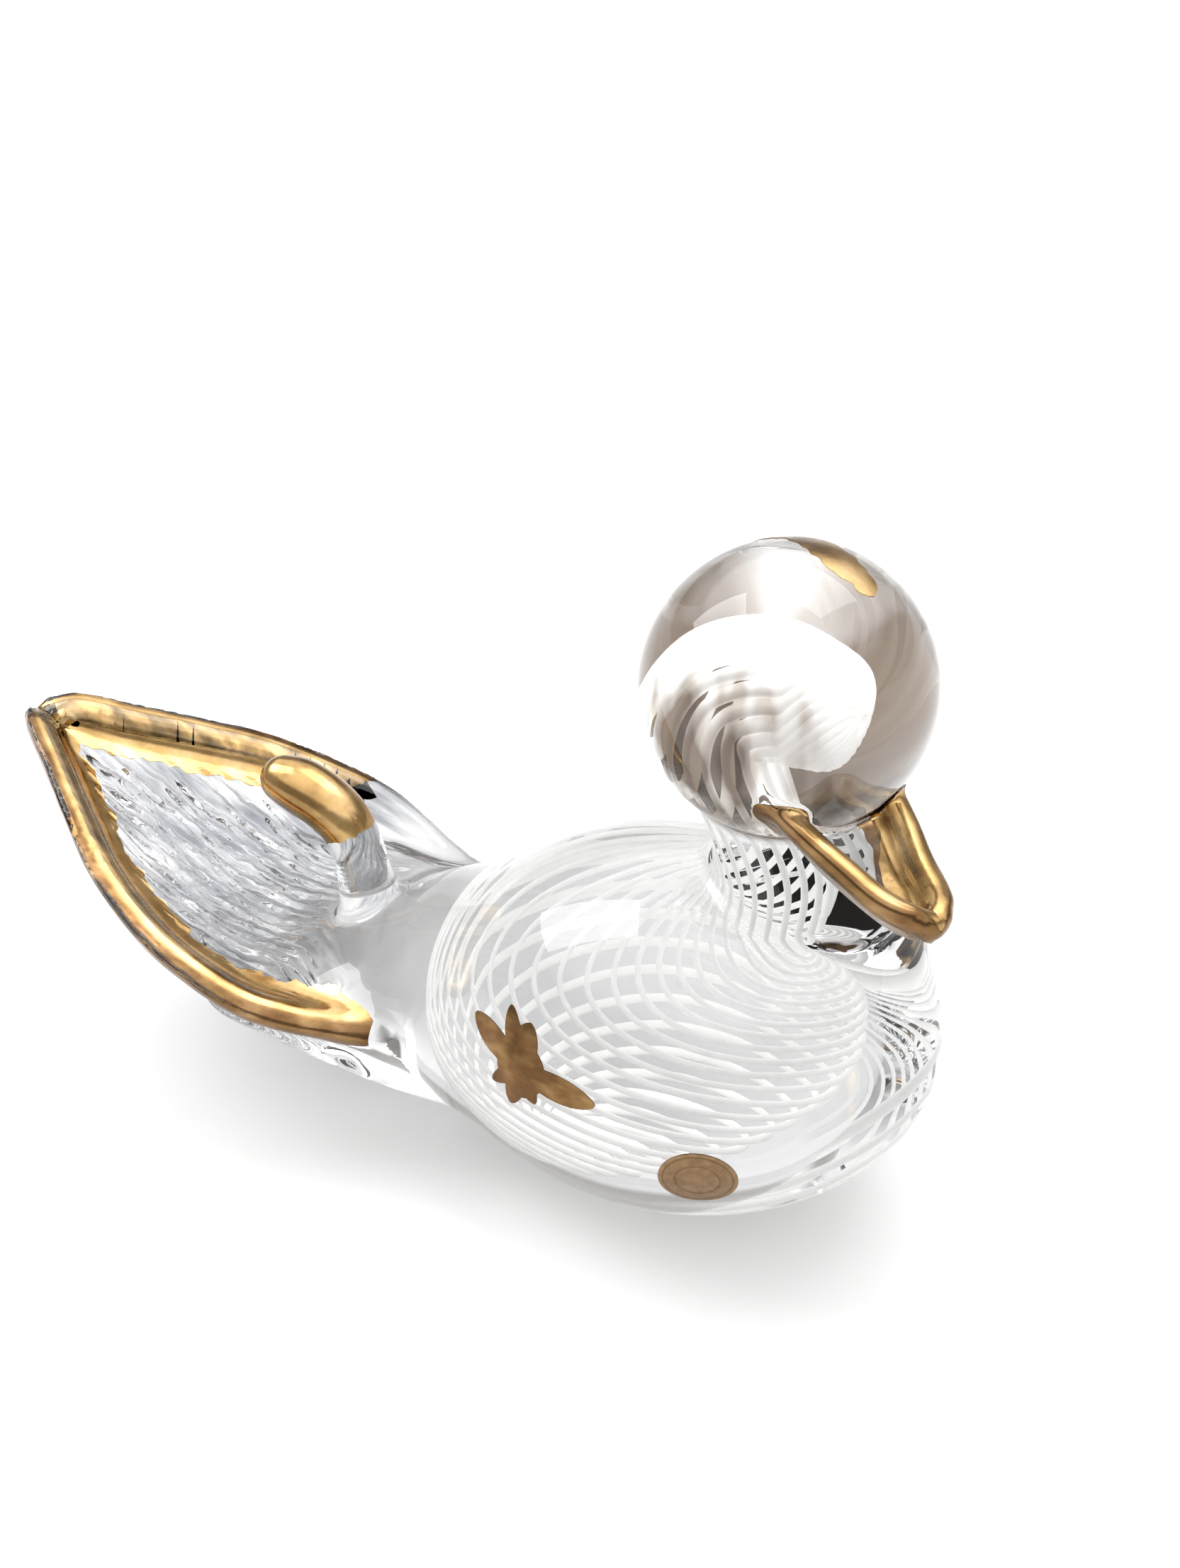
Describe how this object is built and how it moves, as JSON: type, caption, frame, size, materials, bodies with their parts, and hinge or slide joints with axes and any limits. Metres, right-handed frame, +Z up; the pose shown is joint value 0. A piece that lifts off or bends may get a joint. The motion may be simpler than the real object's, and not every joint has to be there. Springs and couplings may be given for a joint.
{
  "type": "glass duck figurine",
  "caption": "Hot-worked clear glass duck with white filigree canes, a ball head, a ribbed leaf-shaped tail with a curl, and gold lustre trim.",
  "frame": {"origin": "centre of the ground flat under the body, on the surface that the duck rests on", "axes": "+X forwards along the body (breast side), +Y to the duck's left, +Z up"},
  "size_m": [0.1809, 0.0668, 0.1171],
  "materials": {
    "clear_glass": "clear, fire-polished, smooth hot-worked surface",
    "core_glass": "clear inner gather, fused inside the casing",
    "white_cane": "opaque white glass thread, glossy",
    "gold_lustre": "bright fired gold lustre, mirror-like",
    "foil_label": "dull bronze foil sticker with a plain embossed border"
  },
  "bodies": {
    "root": {"casing": "clear_glass", "core": "core_glass", "cane_01": "white_cane", "cane_02": "white_cane", "cane_03": "white_cane", "cane_04": "white_cane", "cane_05": "white_cane", "cane_06": "white_cane", "cane_07": "white_cane", "cane_08": "white_cane", "cane_09": "white_cane", "cane_10": "white_cane", "cane_11": "white_cane", "cane_12": "white_cane", "cane_13": "white_cane", "cane_14": "white_cane", "cane_15": "white_cane", "cane_16": "white_cane", "cane_17": "white_cane", "cane_18": "white_cane", "cane_19": "white_cane", "cane_20": "white_cane", "head_ball": "clear_glass", "bill": "clear_glass", "bill_gold": "gold_lustre", "crown_gold": "gold_lustre", "tail_fan": "clear_glass", "tail_rim_gold": "gold_lustre", "tail_curl": "clear_glass", "curl_gold": "gold_lustre", "motif_right_gold": "gold_lustre", "motif_left_gold": "gold_lustre", "foil_label": "foil_label"}
  },
  "joints": []
}
